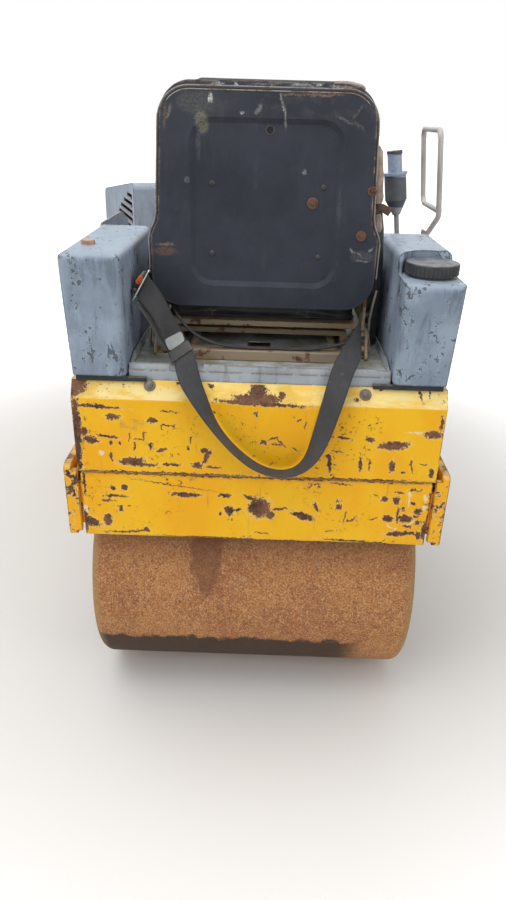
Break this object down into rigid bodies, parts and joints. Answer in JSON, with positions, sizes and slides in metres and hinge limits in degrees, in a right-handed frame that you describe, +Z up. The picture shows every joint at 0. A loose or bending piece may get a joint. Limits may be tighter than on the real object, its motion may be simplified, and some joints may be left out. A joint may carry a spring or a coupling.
{
  "type": "small articulated tandem road roller",
  "caption": "Compact ride-on tandem roller with two smooth steel drums, centre steering joint, driver's seat between side tanks and a sloping engine hood.",
  "frame": {"origin": "on the ground under the middle of the whole machine's box as it stands, front half turned 20 degrees to the left", "axes": "+X to the driver's right, +Y forward along the rear half, +Z up"},
  "size_m": [1.1726, 2.1446, 1.471],
  "materials": {
    "yellow_paint": "satin, chipped to rust",
    "grey_paint": "matte, scuffed",
    "drum_steel": "rusted rolled steel",
    "black_shell": "satin, scratched",
    "black_vinyl": "worn vinyl",
    "webbing": "woven, faded",
    "black_rubber": "matte",
    "black_plastic": "ribbed, dusty",
    "bright_steel": "bright, spotted",
    "rusty_steel": "rusted",
    "dark_steel": "oily black paint",
    "chrome_rod": "polished"
  },
  "bodies": {
    "rear_drum": {"rear_drum": "drum_steel"},
    "front_drum": {"front_drum": "drum_steel"},
    "steering_yoke": {"steering_yoke": "dark_steel"},
    "cylinder_barrel": {"steering_cylinder_barrel": "dark_steel"},
    "cylinder_rod": {"steering_cylinder_rod": "chrome_rod"},
    "hood": {"hood": "grey_paint"},
    "steering_wheel": {"steering_wheel": "black_plastic"},
    "front_frame": {"front_arm_right": "yellow_paint", "front_arm_left": "yellow_paint", "front_axle_carriers": "dark_steel", "front_axle_buffers": "black_rubber", "front_bumper": "yellow_paint", "front_scraper": "rusty_steel", "front_sprinkler": "black_plastic", "front_cross_beam": "yellow_paint", "engine": "dark_steel", "engine_deck": "yellow_paint", "hood_hinges": "yellow_paint", "hood_rests": "black_rubber", "tow_lug": "yellow_paint"},
    "rear_frame": {"rear_arm_right": "yellow_paint", "rear_arm_left": "yellow_paint", "rear_axle_carriers": "dark_steel", "rear_axle_buffers": "black_rubber", "rear_bumper": "yellow_paint", "rear_scraper": "rusty_steel", "rear_sprinkler": "black_plastic", "rear_cross_beam": "yellow_paint", "steering_pin": "dark_steel", "rear_body": "yellow_paint", "floor_plate": "yellow_paint", "guard_right": "grey_paint", "guard_left": "grey_paint", "hand_rail": "grey_paint", "tank_left": "grey_paint", "tank_right": "grey_paint", "tank_pads": "black_rubber", "tank_cap": "black_plastic", "tank_plug": "rusty_steel", "seat_tray": "grey_paint", "seat_frame": "rusty_steel", "seat_scissor": "rusty_steel", "seat_pan": "rusty_steel", "seat_back_shell": "black_shell", "seat_back_cushion": "black_vinyl", "seat_cushion": "black_vinyl", "steering_console": "grey_paint", "travel_lever": "black_plastic", "belt_buckle": "bright_steel", "belt_strap": "webbing", "belt_loop": "webbing", "belt_adjuster": "bright_steel", "seat_cables": "black_rubber"}
  },
  "joints": [
    {"name": "rear_drum_roll", "type": "hinge", "parent": "rear_frame", "child": "rear_drum", "pos_m": [0.15482, -0.70428, 0.29], "axis": [1, 0, 0], "continuous": true},
    {"name": "steer", "type": "hinge", "parent": "rear_frame", "child": "steering_yoke", "pos_m": [0.15482, -0.01428, 0.49], "axis": [0, 0, 1], "range_deg": [-50, 10]},
    {"name": "frame_roll", "type": "hinge", "parent": "steering_yoke", "child": "front_frame", "pos_m": [0.15482, -0.01428, 0.49], "axis": [-0.342, 0.9397, 0], "range_deg": [-8, 8]},
    {"name": "front_drum_roll", "type": "hinge", "parent": "front_frame", "child": "front_drum", "pos_m": [-0.08118, 0.63411, 0.29], "axis": [0.9397, 0.342, 0], "continuous": true},
    {"name": "hood_lift", "type": "hinge", "parent": "front_frame", "child": "hood", "pos_m": [-0.17951, 0.90427, 0.732], "axis": [-0.9397, -0.342, 0], "range_deg": [0, 60]},
    {"name": "steering_wheel_turn", "type": "hinge", "parent": "rear_frame", "child": "steering_wheel", "pos_m": [0.15482, -0.18228, 1.165], "axis": [0, -0.3746, 0.9272], "continuous": true},
    {"name": "cylinder_swing", "type": "hinge", "parent": "rear_frame", "child": "cylinder_barrel", "pos_m": [0.02982, -0.28428, 0.48], "axis": [0, 0, 1], "range_deg": [-0.8, 2.8]},
    {"name": "cylinder_slide", "type": "slide", "parent": "cylinder_barrel", "child": "cylinder_rod", "axis": [0.2178, 0.976, 0], "range_m": [-0.0126, 0.0606]}
  ],
  "couplings": [
    {"joint": "cylinder_swing", "follows": "steer", "ratio": -0.05},
    {"joint": "cylinder_slide", "follows": "steer", "m_per_rad": -0.068755}
  ]
}
